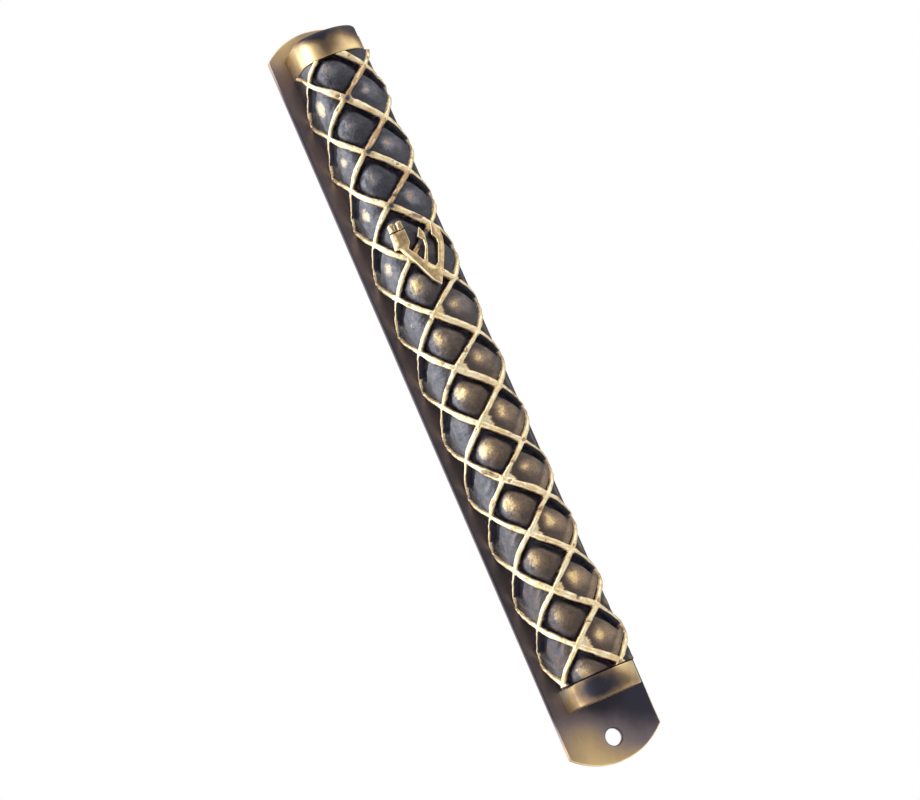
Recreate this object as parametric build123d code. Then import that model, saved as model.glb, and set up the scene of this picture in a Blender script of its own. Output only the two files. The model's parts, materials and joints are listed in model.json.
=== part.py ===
from build123d import *

import math
import os

# Mezuzah case, hung upright on a doorpost. Millimetres.
# +Z runs along the case to its top, +X to the right seen from the front, and the front faces -Y.
# The origin is the middle of the backplate's flat back face.

# ---- driving dimensions -------------------------------------------------------------------------
PLATE_WIDTH = 22.0
PLATE_CORNERS = 161.0          # corner to corner along each long edge
PLATE_END_RISE = 4.3           # how far each end's arc stands beyond its corners
PLATE_THICKNESS = 1.0
PLATE_EDGE_BREAK = 0.2         # chamfer round the front face
FIXING_HOLE_RADIUS = 1.85
LOWER_HOLE_Z = -79.5
UPPER_HOLE_Z = 77.0            # under the top cap, reached with the cap lifted off

COVER_BOTTOM = -66.7           # the lattice cover's span along Z
COVER_TOP = 74.6
COVER_HALF = 8.9               # section over the rib tops: half width, straight wall, arch rise
COVER_WALL = 5.3
COVER_ARCH = 6.55
COVER_RIM = 0.8                # plain rim along the base and round both ends
CELL_DEPTH = 1.0               # how deep each cell lies below the rib tops
RIB_WIDTH = 1.4
ROW_PITCH = 12.44              # height of one diamond
ROW_ORIGIN = 70.8              # Z of a crossing near the top, in the even columns
COLUMN_STEP = 51.0             # degrees of arch between neighbouring columns of crossings
COLUMN_COUNT = 6

CHAMBER_HALF = 6.5             # the hollow for the rolled parchment
CHAMBER_WALL = 5.3
CHAMBER_ARCH = 4.5

CAP_HALF = 7.3                 # outer section of both end caps
CAP_WALL = 6.95
CAP_ARCH = 4.95
CAP_END_THICKNESS = 0.9
CAP_RIM_ROUND = 0.6
TOP_CAP_BOTTOM = 74.7
TOP_CAP_TOP = 80.5
BOTTOM_CAP_BOTTOM = -71.6

SLEEVE_DEPTH = 6.0             # how far the top cap's sleeve reaches into the cover
SLEEVE_IN_CAP = 4.0
SLEEVE_THICKNESS = 0.5
SLIDE_CLEARANCE = 0.06         # sleeve to chamber wall
PLATE_CLEARANCE = 0.1          # top cap and sleeve to the backplate

BADGE_THICKNESS = 1.0
BADGE_LIFT = 0.05              # badge's back above the rib tops
BADGE_CROWN = (-5.0, -3.4)     # X of the two crown bars
BADGE_CROWN_RADIUS = 0.6
BADGE_CROWN_FOOT = 33.5
BADGE_CROWN_HEIGHT = 1.8
PIN_RADIUS = 0.6
PIN_REACH = 0.5                # how far each pin goes into the badge
PIN_PLACES = ((0.0, 22.6), (-4.2, 32.0))

FRONT_FACE = -PLATE_THICKNESS
FAR_BACK = 5.0                 # a base behind the backplate, for sections that cut right through


def arch_section(half, wall, arch, base=FRONT_FACE):
    """A closed U section on XY: two straight walls and a half ellipse, its springing kept fixed."""
    springing = FRONT_FACE - wall
    outline = Line((-half, base), (-half, springing))
    outline += EllipticalCenterArc((0, springing), half, arch, 180, arc_size=180)
    outline += Line((half, springing), (half, base))
    outline += Line((half, base), (-half, base))
    return make_face(outline)


def run_along(section, low, high):
    """An XY section carried from Z=low to Z=high."""
    return Pos(0, 0, low) * extrude(section, amount=high - low)


def cover_section(offset=0.0, base=FRONT_FACE):
    return arch_section(COVER_HALF + offset, COVER_WALL, COVER_ARCH + offset, base)


def chamber_section(offset=0.0, base=FRONT_FACE):
    return arch_section(CHAMBER_HALF + offset, CHAMBER_WALL, CHAMBER_ARCH + offset, base)


def cap_section(base=FRONT_FACE):
    return arch_section(CAP_HALF, CAP_WALL, CAP_ARCH, base)


def cover_point(column_angle, height):
    """A point on the rib tops: on the arch up to 90 degrees either side, then down the wall."""
    over = max(abs(column_angle) - 90.0, 0.0)
    on_arch = math.radians(max(-90.0, min(90.0, column_angle)))
    springing = FRONT_FACE - COVER_WALL
    across = COVER_HALF * math.sin(on_arch)
    depth = springing - COVER_ARCH * math.cos(on_arch) + COVER_ARCH * math.radians(over)
    return Vector(across, depth, height)


def cell_prism(column_angle, centre_z):
    """The straight-sided punch of one diamond cell, driven in along the cell's own normal."""
    centre = cover_point(column_angle, centre_z)
    along = (cover_point(column_angle + 1, centre_z) - centre).normalized()
    left = (cover_point(column_angle - COLUMN_STEP, centre_z) - centre).dot(along)
    right = (cover_point(column_angle + COLUMN_STEP, centre_z) - centre).dot(along)
    rise = ROW_PITCH / 2
    half_width = (right - left) / 2
    inset = RIB_WIDTH / 2 * math.hypot(rise, half_width) / half_width
    side_inset = inset * half_width / rise
    punch = Plane(origin=centre, x_dir=along, z_dir=along.cross(Vector(0, 0, 1)))
    corners = [
        ((left + right) / 2, rise - inset),
        (right - side_inset, 0),
        ((left + right) / 2, inset - rise),
        (left + side_inset, 0),
    ]
    diamond = make_face(Polyline(*corners, close=True))
    return extrude(punch * diamond, amount=CELL_DEPTH * 6, both=True)


def cell_centres():
    """(column angle, Z) of every cell: odd columns stand half a diamond from even ones."""
    rows = math.ceil((COVER_TOP - COVER_BOTTOM) / ROW_PITCH) + 1
    for column in range(COLUMN_COUNT):
        angle = (column - (COLUMN_COUNT - 1) / 2) * COLUMN_STEP
        shift = 0.5 if column % 2 else 0.0
        for row in range(rows):
            yield angle, ROW_ORIGIN - (row + shift) * ROW_PITCH


def make_backplate():
    """A flat strip with shallow arc ends, two fixing holes and a broken front edge."""
    half = PLATE_WIDTH / 2
    corner = PLATE_CORNERS / 2
    tip = corner + PLATE_END_RISE
    outline = Line((-half, -corner), (-half, corner))
    outline += ThreePointArc((-half, corner), (0, tip), (half, corner))
    outline += Line((half, corner), (half, -corner))
    outline += ThreePointArc((half, -corner), (0, -tip), (-half, -corner))
    plate = extrude(Plane.XZ * make_face(outline), amount=PLATE_THICKNESS)
    front = plate.faces().sort_by(Axis.Y)[0]
    plate = chamfer(front.edges(), PLATE_EDGE_BREAK)
    for height in (LOWER_HOLE_Z, UPPER_HOLE_Z):
        drill = Cylinder(FIXING_HOLE_RADIUS, 4 * PLATE_THICKNESS)
        plate -= Pos(0, 0, height) * Rot(90, 0, 0) * drill
    return plate


def make_lattice_cover():
    """The bowed cover: a chamber inside, and diamond cells sunk between raised ribs outside."""
    cover = run_along(cover_section(), COVER_BOTTOM, COVER_TOP)
    cover -= run_along(chamber_section(base=FAR_BACK), COVER_BOTTOM, COVER_TOP)
    low = COVER_BOTTOM + COVER_RIM
    high = COVER_TOP - COVER_RIM
    skin = run_along(cover_section(1.0, FRONT_FACE - COVER_RIM), low, high)
    skin -= run_along(cover_section(-CELL_DEPTH, FAR_BACK), low, high)
    cells = [skin & cell_prism(angle, height) for angle, height in cell_centres()]
    return cover - [cell for cell in cells if cell]


def make_cap_band(low, high, inner, base):
    """A band with the caps' outer section, open at the back and hollow inside."""
    return run_along(cap_section(base), low, high) - run_along(inner, low, high)


def make_cap_end(low, high, base, rim):
    """The plate that closes a cap, with its outer rim rounded except along the back edge."""
    end = run_along(cap_section(base), low, high)
    edges = end.faces().sort_by(Axis.Z)[rim].edges()
    return fillet(edges.sort_by(Axis.Y)[:-1], CAP_RIM_ROUND)


def make_sleeve():
    """The U-shaped collar under the top cap, a sliding fit in the cover's chamber."""
    low = TOP_CAP_BOTTOM - SLEEVE_DEPTH
    high = TOP_CAP_BOTTOM + SLEEVE_IN_CAP
    outer = chamber_section(-SLIDE_CLEARANCE, FRONT_FACE - PLATE_CLEARANCE)
    inner = chamber_section(-SLIDE_CLEARANCE - SLEEVE_THICKNESS, FAR_BACK)
    return run_along(outer, low, high) - run_along(inner, low, high)


def make_badge_outline():
    """A plain three-armed letter: a pointed foot, shouldered heads and a crown of two bars."""
    right_side = [(0, 20), (2.4, 24.2), (4.3, 27.8), (4.9, 29.9), (4.9, 31.6), (3.4, 33.7)]
    right_head = [(2.4, 30.9), (3.1, 30.0), (3.1, 28.8)]
    right_counter = [(1.2, 24.8), (0.2, 24.2), (-0.7, 24.5), (-0.9, 25.4)]
    middle_arm = [(0.5, 28.8), (1.0, 31.6), (0.3, 33.3), (-0.8, 31.4), (0.1, 30.3), (-0.1, 28.8)]
    left_counter = [(-1.5, 26.1), (-3.5, 29.6)]
    left_head = [(-2.7, 30.8), (-2.7, 33.7), (-5.7, 33.7), (-5.9, 30.3), (-5.0, 30.1)]
    left_side = [(-1.3, 21.6)]
    corners = right_side + right_head + right_counter + middle_arm
    corners += left_counter + left_head + left_side
    outline = make_face(Polyline(*corners, close=True))
    for across in BADGE_CROWN:
        bar = Rectangle(2 * BADGE_CROWN_RADIUS, BADGE_CROWN_HEIGHT, align=(Align.CENTER, Align.MIN))
        outline += Pos(across, BADGE_CROWN_FOOT) * bar
        outline += Pos(across, BADGE_CROWN_FOOT + BADGE_CROWN_HEIGHT) * Circle(BADGE_CROWN_RADIUS)
    return outline


def make_badge():
    """The badge as a curved plate that hugs the crown of the cover."""
    block = extrude(Plane.XZ * make_badge_outline(), amount=30)
    shell = run_along(cover_section(BADGE_LIFT + BADGE_THICKNESS), 0, COVER_TOP)
    shell -= run_along(cover_section(BADGE_LIFT, FAR_BACK), 0, COVER_TOP)
    return block & shell


def make_badge_pins():
    """Two pins from inside the badge to the chamber wall, where they end flush."""
    reach = cover_section(BADGE_LIFT + PIN_REACH)
    zone = run_along(reach, 0, COVER_TOP) - run_along(chamber_section(base=FAR_BACK), 0, COVER_TOP)
    pins = []
    for across, height in PIN_PLACES:
        rod = Cylinder(PIN_RADIUS, 12, align=(Align.CENTER, Align.CENTER, Align.MIN))
        pins.append(zone & (Pos(across, FRONT_FACE - CHAMBER_WALL, height) * Rot(90, 0, 0) * rod))
    return pins


def write(shape, name):
    """Label one node and write its STEP file."""
    shape.label = name
    export_step(shape, f"parts/{name}.step")


def main():
    os.makedirs("parts", exist_ok=True)
    pins = make_badge_pins()
    clear_base = FRONT_FACE - PLATE_CLEARANCE
    top_seam = TOP_CAP_TOP - CAP_END_THICKNESS
    bottom_seam = BOTTOM_CAP_BOTTOM + CAP_END_THICKNESS
    sleeve_seat = chamber_section(-SLIDE_CLEARANCE, FAR_BACK)
    chamber = chamber_section(base=FAR_BACK)

    write(make_backplate(), "backplate")
    write(make_lattice_cover() - pins, "lattice_cover")
    write(make_cap_band(TOP_CAP_BOTTOM, top_seam, sleeve_seat, clear_base), "top_cap_band")
    write(make_cap_end(top_seam, TOP_CAP_TOP, clear_base, -1), "top_cap_end")
    write(make_sleeve(), "top_cap_sleeve")
    write(make_cap_band(bottom_seam, COVER_BOTTOM, chamber, FRONT_FACE), "bottom_cap_band")
    write(make_cap_end(BOTTOM_CAP_BOTTOM, bottom_seam, FRONT_FACE, 0), "bottom_cap_end")
    write(make_badge() - pins, "shin_badge")
    write(Compound(children=pins), "badge_pins")


main()
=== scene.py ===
import json
import math

import bmesh
import bpy
import numpy as np
from mathutils import Matrix, Vector
from mathutils.geometry import delaunay_2d_cdt


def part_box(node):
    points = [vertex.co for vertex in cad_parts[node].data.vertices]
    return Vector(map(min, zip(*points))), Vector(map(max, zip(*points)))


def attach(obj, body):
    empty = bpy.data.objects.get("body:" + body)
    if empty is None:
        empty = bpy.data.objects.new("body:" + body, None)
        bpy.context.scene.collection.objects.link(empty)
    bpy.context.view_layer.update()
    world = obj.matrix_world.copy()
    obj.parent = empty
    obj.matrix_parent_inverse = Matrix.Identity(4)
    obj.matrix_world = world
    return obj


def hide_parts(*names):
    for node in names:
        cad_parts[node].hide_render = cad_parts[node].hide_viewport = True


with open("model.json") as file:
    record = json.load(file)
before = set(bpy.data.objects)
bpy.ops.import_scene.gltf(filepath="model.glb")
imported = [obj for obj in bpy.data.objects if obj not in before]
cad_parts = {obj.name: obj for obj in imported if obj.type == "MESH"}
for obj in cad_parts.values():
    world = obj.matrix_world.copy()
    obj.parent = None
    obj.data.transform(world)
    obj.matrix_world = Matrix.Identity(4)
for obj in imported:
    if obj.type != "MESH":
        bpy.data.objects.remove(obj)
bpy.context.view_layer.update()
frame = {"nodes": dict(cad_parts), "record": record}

MM = 0.001
SEED = 613


def box_mm(node):
    """The lowest and highest corners of a CAD node, in millimetres."""
    low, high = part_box(node)
    return low / MM, high / MM


PLATE_LOW, PLATE_HIGH = box_mm("backplate")
COVER_LOW, COVER_HIGH = box_mm("lattice_cover")
TOP_BAND_LOW, TOP_BAND_HIGH = box_mm("top_cap_band")
TOP_END_LOW, TOP_END_HIGH = box_mm("top_cap_end")
BOTTOM_BAND_LOW, BOTTOM_BAND_HIGH = box_mm("bottom_cap_band")
BOTTOM_END_LOW, BOTTOM_END_HIGH = box_mm("bottom_cap_end")
BADGE_LOW, BADGE_HIGH = box_mm("shin_badge")

PLATE_FRONT = PLATE_LOW.y
PLATE_END_RISE = 4.3
HOLE_RADIUS = frame["record"]["mounts"][1]["dims"]["hole_r_mm"]
HOLE_SPACING = frame["record"]["mounts"][1]["dims"]["spacing_y_mm"]
HOLE_MIDDLE = frame["record"]["mounts"][1]["pos_m"][2] / MM

# The lattice cover: its section over the rib tops, and the chamber inside it.
COVER_HALF = COVER_HIGH.x
COVER_WALL = 5.3
SPRINGING = PLATE_FRONT - COVER_WALL
COVER_ARCH = SPRINGING - COVER_LOW.y
CHAMBER_HALF = 6.5
CHAMBER_ARCH = 4.5
# The lattice: node columns are degrees apart round the section, node rows mm apart in height.
COLUMN_STEP = 51.0
COLUMN_ORIGIN = COLUMN_STEP / 2
EDGE_ANGLE = 2.5 * COLUMN_STEP
ROW_PITCH = 12.44
ROW_ORIGIN = 70.8
RIB_SPACING = 9.4
CELL_WIDTH = 14.4
VALLEY_DEPTH = 1.55
FAR_BELOW = -9.0
# Where the ribs begin to bend round toward the base, in degrees.
BEND_ANGLE = 76.5

CAP_HALF = TOP_BAND_HIGH.x
CAP_WALL = 6.95
CAP_AXIS = PLATE_FRONT - CAP_WALL
CAP_ARCH = CAP_AXIS - BOTTOM_BAND_LOW.y
CAP_SHEET = 0.8
# The radii of each band's lower and upper rims and of each end plate's rim, in mm.
TOP_RIMS, TOP_END_RIM = (0.18, 0.01), 0.85
BOTTOM_RIMS, BOTTOM_END_RIM = (0.02, 0.16), 0.3
RIM_STEPS = 5
COVER_TO_TUBE = CAP_HALF - COVER_HALF

BADGE_LIFT = 0.05
BADGE_THICKNESS = COVER_LOW.y - BADGE_LOW.y - BADGE_LIFT
# Where the crown on the letter's left arm starts, and how far right its cut line runs.
CROWN_FOOT = BADGE_LOW.z + 13.75
CROWN_RIGHT = BADGE_LOW.x + 4
# The letter's outline from its foot round to the right, (across, up) from the middle of the case.
BADGE_OUTLINE = (
    (0, 20), (2.4, 24.2), (4.3, 27.8), (4.9, 29.9), (4.9, 31.6), (3.4, 33.7),
    (2.4, 30.9), (3.1, 30.0), (3.1, 28.8), (1.2, 24.8), (0.2, 24.2), (-0.7, 24.5), (-0.9, 25.4),
    (0.5, 28.8), (1.0, 31.6), (0.3, 33.3), (-0.8, 31.4), (0.1, 30.3), (-0.1, 28.8), (-1.5, 26.1),
    (-3.5, 29.6), (-2.7, 30.8), (-2.7, 33.7), (-2.8, 33.8), (-2.8, 35.6), (-3.1, 35.9), (-3.7, 35.9),
    (-4.0, 35.6), (-4.0, 33.8), (-4.4, 33.8), (-4.4, 35.6), (-4.7, 35.9), (-5.3, 35.9), (-5.6, 35.6),
    (-5.6, 33.8), (-5.7, 33.7), (-5.9, 30.3), (-5.0, 30.1), (-1.3, 21.6),
)
# Spots on the backplate, worn patina mixed with painted highlights and painted shade, the dark long
# edges among them: across, height, reach each way in mm, and strength.
PLATE_POLISH_LIGHT_SHADE_SPOTS = (
    (-9, -82, 11, 9, 0.66), (6, -87, 12, 3.6, 0.50), (9, -74, 10, 7, -0.66),
    (-1, -71, 9, 3.5, -0.48), (-9.5, -45, 4, 36, -0.12), (-9, 82, 9, 4, 0.45),
    (-8, 46, 3, 14, 0.10), (0, 84, 12, 1.6, 0.30), (-11, 62, 2, 18, -0.10),
    (10, 0, 2, 70, -0.2), (-11, 0, 0.9, 60, -0.25), (-9, 22, 3, 12, 0.08),
)
# Spots on each cap, worn patina mixed with painted highlights and painted shade: angle round it, height
# over the band's lower edge, reach each way in degrees and mm, and strength.
TOP_POLISH_LIGHT_SHADE_SPOTS = (
    (-66, 2.0, 34, 3.0, 0.70), (40, 0.8, 36, 2.0, 0.55), (0, 0, 70, 1.0, 0.30),
    (-26, 3.0, 13, 3.0, -0.55), (12, 2.0, 16, 2.0, 0.15), (-42, 6.1, 31, 1.9, -1.70),
    (18, 5.4, 40, 1.5, -0.60), (56, 4.0, 24, 2.0, -0.60), (-118, 3.4, 24, 3.0, 0.40),
    (150, 3, 50, 8, 0.10),
)
BOTTOM_POLISH_LIGHT_SHADE_SPOTS = (
    (-128, 3.2, 26, 3.2, 0.95), (-45, 1.7, 29, 2.6, -1.10), (0, 1.5, 30, 2.4, -0.45),
    (68, 3.0, 28, 3.0, 0.80), (-98, 4.2, 24, 1.6, 0.40), (30, 4.4, 26, 1.4, 0.45),
    (0, -0.4, 90, 0.4, 0.35),
)


# ---- numbers ----

def ease(value, low=0.0, high=1.0):
    """From 0 at low to 1 at high, with a soft start and end."""
    t = np.clip((value - low) / (high - low), 0.0, 1.0)
    return t * t * (3 - 2 * t)


def smooth_max(a, b, blend):
    """The larger of two heights, with a fillet where they meet."""
    h = np.clip(0.5 + 0.5 * (a - b) / blend, 0.0, 1.0)
    return b + (a - b) * h + blend * h * (1 - h)


def bell(x):
    """1 at 0, falling away over about 1 either way."""
    return np.exp(-(x ** 2))


def band(value, low, high, soft):
    """1 between low and high, 0 outside, with soft edges."""
    return ease(value, low - soft, low + soft) * (1 - ease(value, high - soft, high + soft))


def noise(x, y, draw, table=64):
    """Smooth noise between -1 and 1, one random value at each whole x and y, new for each draw."""
    values = np.random.default_rng(SEED + draw).uniform(-1, 1, (table, table))
    x0, y0 = np.floor(x).astype(int), np.floor(y).astype(int)
    fx, fy = ease(x - x0), ease(y - y0)

    def corner(i, j):
        return values[(x0 + i) % table, (y0 + j) % table]

    low = corner(0, 0) * (1 - fx) + corner(1, 0) * fx
    high = corner(0, 1) * (1 - fx) + corner(1, 1) * fx
    return low * (1 - fy) + high * fy


# ---- meshes ----

def link(thing):
    bpy.context.scene.collection.objects.link(thing)


def make_object(name, points_mm, faces, material, body, node, masks, sharp_degrees=60):
    """A mesh piece from points in millimetres, riding on a body in place of a CAD node."""
    mesh = bpy.data.meshes.new(name)
    mesh.from_pydata([tuple(p) for p in np.asarray(points_mm) * MM], [], faces)
    mesh.validate()
    layer = mesh.color_attributes.new("relief", "FLOAT_COLOR", "POINT")
    layer.data.foreach_set("color", np.asarray(masks, dtype=np.float32).ravel())
    mesh.polygons.foreach_set("use_smooth", [True] * len(mesh.polygons))
    mesh.set_sharp_from_angle(angle=math.radians(sharp_degrees))
    mesh.materials.append(material)
    piece = bpy.data.objects.new(name, mesh)
    link(piece)
    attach(piece, body)
    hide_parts(node)
    return piece


def mask_layers(*layers):
    """Up to four masks as the columns of one array, with 0 in the columns left over."""
    masks = np.zeros((len(layers[0]), 4))
    for column, layer in enumerate(layers):
        masks[:, column] = layer
    return masks


def arch_points(angle, half, wall, arch, base=PLATE_FRONT):
    """Points and outward normals of a U section at angles in degrees, as (x, y) arrays.

    Up to 90 degrees either side the point is on the half ellipse. From there to EDGE_ANGLE it
    goes straight down the wall to the base.
    """
    springing = PLATE_FRONT - wall
    bent = np.radians(np.clip(angle, -90, 90))
    down = np.clip((np.abs(angle) - 90) / (EDGE_ANGLE - 90), 0, 1)
    x = half * np.sin(bent)
    y = springing - arch * np.cos(bent) + (base - springing) * down
    normal_x = arch * np.sin(bent)
    normal_y = -half * np.cos(bent)
    length = np.hypot(normal_x, normal_y)
    return x, y, normal_x / length, normal_y / length


# ---- the lattice cover ----

def rib_height(distance, half_width):
    """A rounded bar: nearly flat on top, then steep sides down past the valley."""
    x = distance / half_width
    return -0.26 * np.minimum(x, 1) ** 2 - 1.9 * ease(distance - half_width, -0.06, 0.34)


def by_side(column, left, middle, right):
    """One of three values: for cells left of the ridge, on it, or right of it."""
    return np.select([column == -1, column >= 0], [middle, right], left)


def lower_down(row, first, last):
    """From 0 to 1 between two rows, both counted down from the topmost nodes."""
    return ease(-row.astype(float), first, last)


def slots(fp, fq, column, row):
    """From 0 to 1, the black undercuts beside the ribs.

    Cells left of the ridge have one on their upper left, cells right of it on their upper right,
    and the middle cells a soft valley all round, narrowest on the lower right.
    """
    from_upper_right = (1 - fp) * RIB_SPACING
    from_upper_left = fq * RIB_SPACING
    left_cell = band(from_upper_left, 0.26, 2.6, 0.06) * band(fp, 0.36, 0.93, 0.025)
    right_cell = band(from_upper_right, 0.36, 2.1, 0.06) * band(fq, 0.07, 0.74, 0.025)
    uneven = 0.09 * noise(fp * 3.1 + row, fq * 3.1 + 7, 19)
    out = (np.abs((fp - 0.48) / 0.41) ** 3 + np.abs((fq - 0.57) / 0.47) ** 3) ** (1 / 3) + uneven
    slope = 0.10 * ease(fp + fq, 0.9, 1.5)
    middle_cell = 0.80 * ease(out + slope, 0.68, 1.22)
    return by_side(column, left_cell, middle_cell, right_cell)


def pillow_height(fp, fq, column, row):
    """The domed floor of a cell, with a ledge on the lower right of the outer cells.

    In the lowest cells left of the ridge the ledge turns the corner and runs up the other side.
    """
    a, b = 2 * fp - 1, 2 * fq - 1
    fall = np.where(column == -1, 0.52, 0.24) * (np.abs(a) ** 2.5 + np.abs(b) ** 2.5)
    crest = np.select([np.abs(column + 0.5) < 1, column == 1], [-0.42, -1.05], -0.52)
    crest = crest + 0.08 * noise(row * 1.71, column * 1.13, 7)
    right_ledge = band(fq, 0.74, 0.90, 0.02) * lower_down(row, 8, 15)
    border = np.maximum(ease(fq, 0.68, 0.75), 1 - ease(fp, 0.24, 0.31))
    left_fold = (1.6 * border - 1.1) * lower_down(row, 13, 19)
    ledge = by_side(column, left_fold, 0.0, right_ledge)
    return crest - 0.95 * np.minimum(fall, 1.1) + 0.20 * ledge, np.maximum(ledge, 0)


def cell_wear_and_highlight(fp, fq, column, row):
    """Where a cell's crest is painted bright, from 0 to 1: partly worn back to gold, partly a painted
    highlight set off the middle where the light strikes.
    """
    spread = by_side(column, 0.195, 0.165, 0.135)
    spread = spread + 0.03 * noise(row * 1.9, column * 2.7, 14)
    at_p = by_side(column, 0.59, 0.50, 0.42)
    at_p = at_p + 0.04 * noise(row * 1.3, column * 1.7, 17)
    at_q = by_side(column, 0.57, 0.35, 0.28)
    across, along = (fp - at_p) + (fq - at_q), (fp - at_p) - (fq - at_q)
    across = across + 0.05 * noise(fp * 5 + row, fq * 5 + column, 20)
    along = along + 0.10 * noise(fp * 5 + row, fq * 5 + column, 26)
    away = (across / 1.1) ** 2 + (along / 1.5) ** 2
    wide = np.hypot(fp - 0.52, fq - 0.48) / np.where(column == -1, 0.30, 0.26)
    spot = 0.80 * np.exp(-away / spread ** 2) + 0.30 * bell(wide)
    downward, lowest = lower_down(row, 3, 12), lower_down(row, 16, 21)
    middle = 0.32 + 0.66 * downward - 0.36 * lowest + 0.2 * (row == 0)
    right = 0.48 + 0.42 * downward + 0.40 * lowest
    left = 0.70 - 0.42 * downward
    strength = by_side(column, left, middle, right)
    return spot * strength * (1 + 0.2 * noise(row * 2.3, column * 1.9, 10))


def rib_polish_and_shade(near_p, near_q, across, row):
    """How bright a rib is painted, worn bright with painted shade: less on those climbing right across
    the ridge near the top, and tan on those falling right of the middle.
    """
    climbing = ease(near_p - near_q, -0.2, 0.4)
    over_ridge = band(across, -1.05, 0.05, 0.08)
    near_top = 1 - lower_down(row, 6, 10)
    patches = 0.85 + 0.5 * noise(across * 9, row * 5.3 + near_q, 18)
    falling_right = ease(near_q - near_p, -0.2, 0.4) * ease(across, -0.75, -0.55)
    tan = 0.35 * falling_right * patches
    return 1 - np.maximum(climbing * over_ridge * (0.25 + 0.6 * near_top) * patches, tan)


def rib_lines(p, q, across):
    """For each of the two sets of ribs: the distance to the nearest, and its half width, in mm."""
    wander_p = 0.15 * noise(p * 2.3 + 3, q * 2.3, 22)
    wander_q = 0.13 * noise(p * 2.3, q * 2.3 + 3, 23)
    near_p = np.abs((p - np.round(p)) * RIB_SPACING + wander_p)
    near_q = np.abs((q - np.round(q)) * RIB_SPACING + wander_q)
    half_p = 0.69 + 0.13 * noise(p * 3, q * 3, 1)
    half_p = half_p + 0.08 * noise(p * 11, q * 11, 2)
    half_q = 0.57 + 0.12 * noise(p * 3, q * 3, 3)
    half_q = half_q + 0.08 * noise(p * 11, q * 11, 4)
    thin = 1 - 0.32 * ease(np.abs(across + 0.5), 1.1, 1.9)
    return near_p, near_q, half_p * thin, half_q * thin


def web_reach(p, q, column, row):
    """How far the web in the left corner of a right-hand cell reaches, in mm."""
    reach = 0.85 + 1.35 * lower_down(row, 5, 10)
    reach = reach + 0.50 * noise(p * 12, q * 12, 27, 128)
    return reach + 0.40 * noise(row * 1.37, column * 2.1, 6)


def cell_floor(p, q, pillow, slot, wall):
    """The pillows with their hand-worked unevenness and undercuts, and the bare side walls."""
    pillow = pillow + 0.075 * noise(p * 7, q * 7, 8)
    pillow = pillow + 0.03 * noise(p * 14, q * 14, 15, 128)
    pillow = pillow + (-VALLEY_DEPTH - pillow) * slot
    return np.where(wall, COVER_TO_TUBE, pillow)


def clear_of_badge_shadow_and_solder(across, up, node_p, node_q):
    """1 on clean ribs, less where the badge's shadow is painted round and behind it, and in the solder
    on the upper ridge nodes.
    """
    badge_shadow = band(across, -0.70, -0.16, 0.08) * band(up, -7.0, -6.12, 0.08)
    on_ridge = (node_p + node_q == -1) * ease(up, -8.0, -6.5)
    off_node = np.hypot((across + 0.92) * CELL_WIDTH / 2, (up - node_p + node_q + 0.04) * ROW_PITCH / 2)
    return (1 - 0.66 * badge_shadow) * (1 - 0.78 * on_ridge * bell(off_node / 1.1))


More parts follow.
